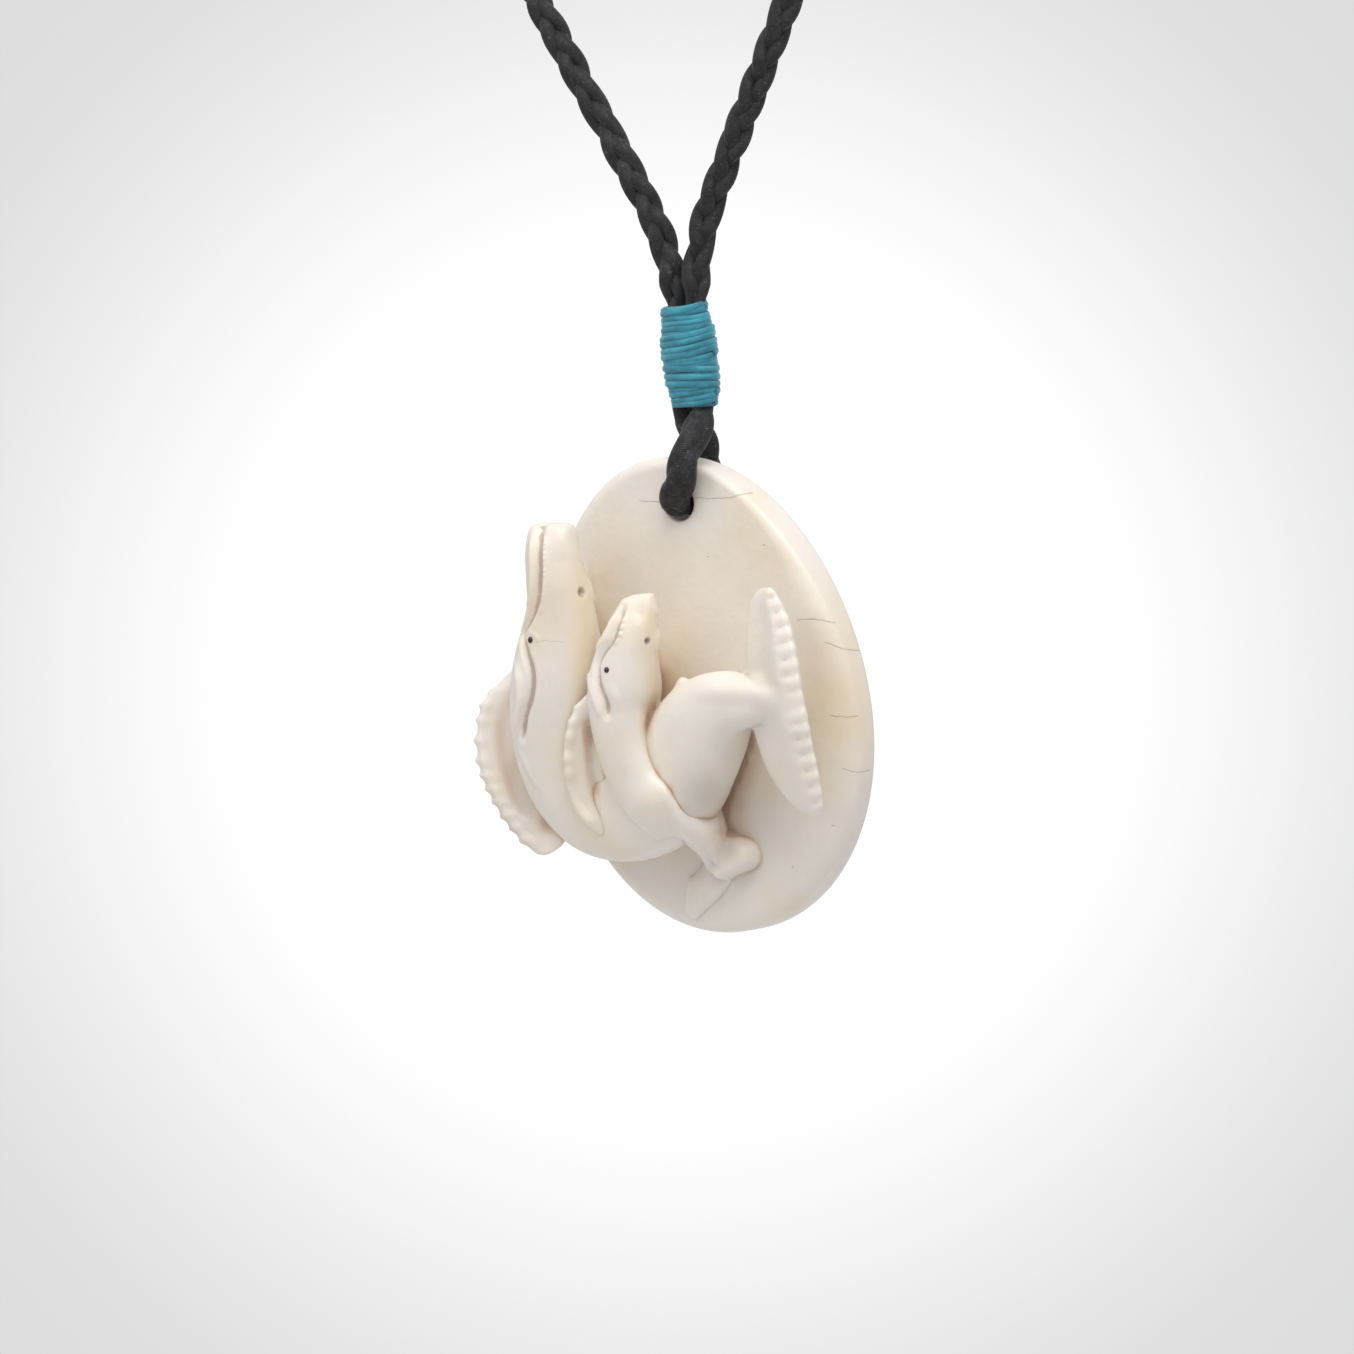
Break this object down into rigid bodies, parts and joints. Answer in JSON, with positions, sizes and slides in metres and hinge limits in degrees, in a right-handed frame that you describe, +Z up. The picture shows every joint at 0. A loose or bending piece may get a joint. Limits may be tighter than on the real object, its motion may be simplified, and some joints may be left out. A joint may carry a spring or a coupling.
{
  "type": "carved ivory pendant on a neck cord",
  "caption": "Oval ivory plaque carved in high relief with a whale and her calf, hung by a hole near its top from a plaited black neck cord that a turquoise thread whipping gathers.",
  "frame": {"origin": "where the neck cord rests on the nape, at the cord's centreline in the middle of the loop's back", "axes": "+Z up, +X to the viewer's right, the carved face of the plaque towards -Y"},
  "size_m": [0.1548, 0.1147, 0.2503],
  "materials": {
    "ivory": "polished mammoth ivory, cream, with fine growth lines and warm shading in the carving's depths",
    "eye_inlay": "small dark inlaid eyes, polished",
    "cord": "plaited waxed cord, black, a little glossy",
    "thread": "waxed turquoise thread, wound close"
  },
  "bodies": {
    "necklace": {"neck_cord": "cord", "hanging_loop": "cord", "whipping": "thread"},
    "pendant": {"carved_pendant": "ivory", "mother_eye": "eye_inlay", "calf_eye": "eye_inlay"}
  },
  "joints": [
    {"name": "pendant_swing", "type": "hinge", "parent": "necklace", "child": "pendant", "pos_m": [-0.0009, -0.09985, -0.2053], "axis": [0, 1, 0], "range_deg": [-25, 25]}
  ]
}
